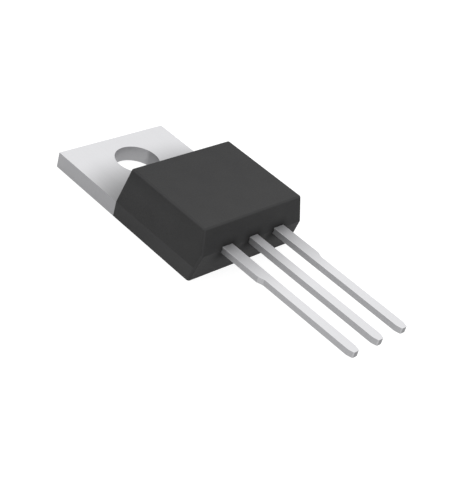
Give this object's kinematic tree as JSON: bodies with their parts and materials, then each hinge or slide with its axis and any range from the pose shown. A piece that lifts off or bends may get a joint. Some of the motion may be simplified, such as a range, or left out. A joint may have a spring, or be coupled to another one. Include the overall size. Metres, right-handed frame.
{
  "type": "triac",
  "caption": "Through-hole triac in a plastic power package: a moulded body with a drilled metal mounting tab and straight leads side by side.",
  "frame": {"origin": "centre of the mounting hole, on the rear face of the tab", "axes": "+X across the width, +Y towards the end of the tab so that the leads run towards -Y, +Z out of the front face of the body"},
  "size_m": [0.0104, 0.0286, 0.0045],
  "materials": {
    "moulding_compound": "black epoxy moulding compound, finely matt from the mould",
    "tinned_copper_tab": "copper with matt tin plating",
    "tinned_copper_lead": "copper with satin tin plating",
    "silicon_chip": "diced silicon with metallised pads",
    "solder": "reflowed soft solder",
    "aluminium_wire": "drawn aluminium bonding wire"
  },
  "bodies": {
    "root": {"moulded_body": "moulding_compound", "tab_with_mt2_lead": "tinned_copper_tab", "mt1_lead": "tinned_copper_lead", "gate_lead": "tinned_copper_lead", "triac_chip": "silicon_chip", "chip_solder": "solder", "mt1_wire_outer": "aluminium_wire", "mt1_wire_inner": "aluminium_wire", "gate_wire": "aluminium_wire"}
  },
  "joints": []
}
